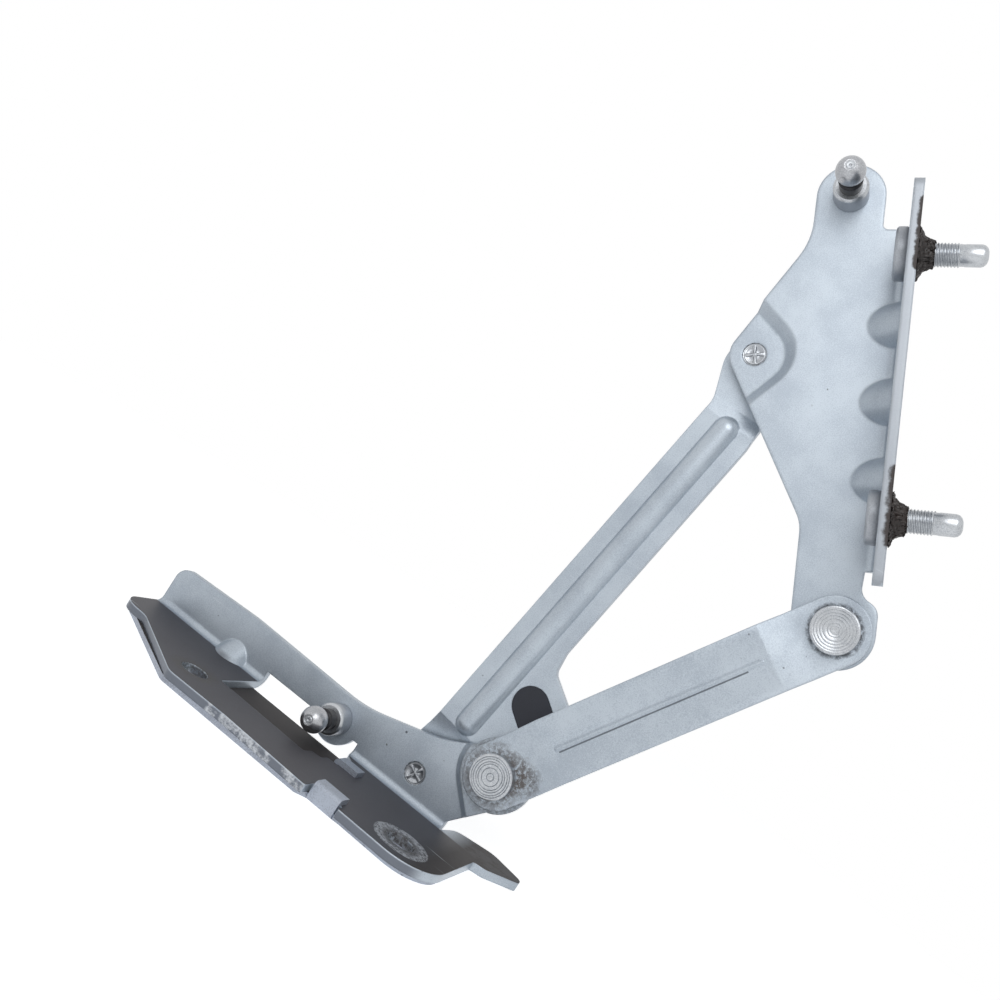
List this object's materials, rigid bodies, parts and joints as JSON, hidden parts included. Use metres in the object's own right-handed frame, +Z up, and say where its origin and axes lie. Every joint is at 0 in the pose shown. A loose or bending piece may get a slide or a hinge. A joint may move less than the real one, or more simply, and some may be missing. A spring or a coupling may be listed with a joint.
{
  "type": "four-bar lid hinge",
  "caption": "Raised four-bar lid hinge of pressed sheet: flanged base and lid brackets, a long and a short link, shouldered rivets, gas-spring ball studs and lid studs.",
  "frame": {"origin": "midway between the two base bolt holes, on the underside of the base", "axes": "+X along the base flange toward the pivots, +Y away from the side that shows the rivet heads, +Z up out of the base"},
  "size_m": [0.2414, 0.0683, 0.2821],
  "materials": {
    "bracket_paint": "satin",
    "link_paint": "satin",
    "under_plate_paint": "matte",
    "rivet_steel": "brushed",
    "stud_steel": "satin",
    "buffer_rubber": "matte",
    "bush_plastic": "matte"
  },
  "bodies": {
    "base": {"base_bracket": "bracket_paint", "base_under_plate": "under_plate_paint", "base_ball_stud": "stud_steel", "base_long_rivet": "rivet_steel", "base_short_rivet_tail": "rivet_steel"},
    "long_arm": {"long_link": "link_paint", "long_link_buffer": "buffer_rubber", "long_link_base_bush": "bush_plastic", "long_link_base_washer": "bush_plastic", "long_link_lid_bush": "bush_plastic", "long_link_lid_washer": "bush_plastic"},
    "lid": {"lid_bracket": "bracket_paint", "lid_ball_stud": "stud_steel", "lid_upper_stud": "stud_steel", "lid_lower_stud": "stud_steel", "lid_long_rivet": "rivet_steel", "lid_short_rivet": "rivet_steel"},
    "short_arm": {"short_link": "link_paint", "short_link_base_bush": "bush_plastic", "short_link_base_washer": "bush_plastic", "short_link_base_rivet": "rivet_steel", "short_link_lid_bush": "bush_plastic", "short_link_lid_washer": "bush_plastic"}
  },
  "joints": [
    {"name": "long_arm_hinge", "type": "hinge", "parent": "base", "child": "long_arm", "pos_m": [0.029, 0.04235, 0.0146], "axis": [0, -1, 0], "range_deg": [0, 50]},
    {"name": "lid_hinge", "type": "hinge", "parent": "long_arm", "child": "lid", "pos_m": [0.05026, 0.04235, 0.20713], "axis": [0, -1, 0], "range_deg": [-14.2, 0]},
    {"name": "short_arm_hinge", "type": "hinge", "parent": "lid", "child": "short_arm", "pos_m": [0.12434, 0.033, 0.13925], "axis": [0, -1, 0], "range_deg": [0, 26.2]}
  ],
  "couplings": [
    {"joint": "lid_hinge", "follows": "long_arm_hinge", "ratio": -0.27817},
    {"joint": "short_arm_hinge", "follows": "long_arm_hinge", "ratio": 0.51598}
  ]
}
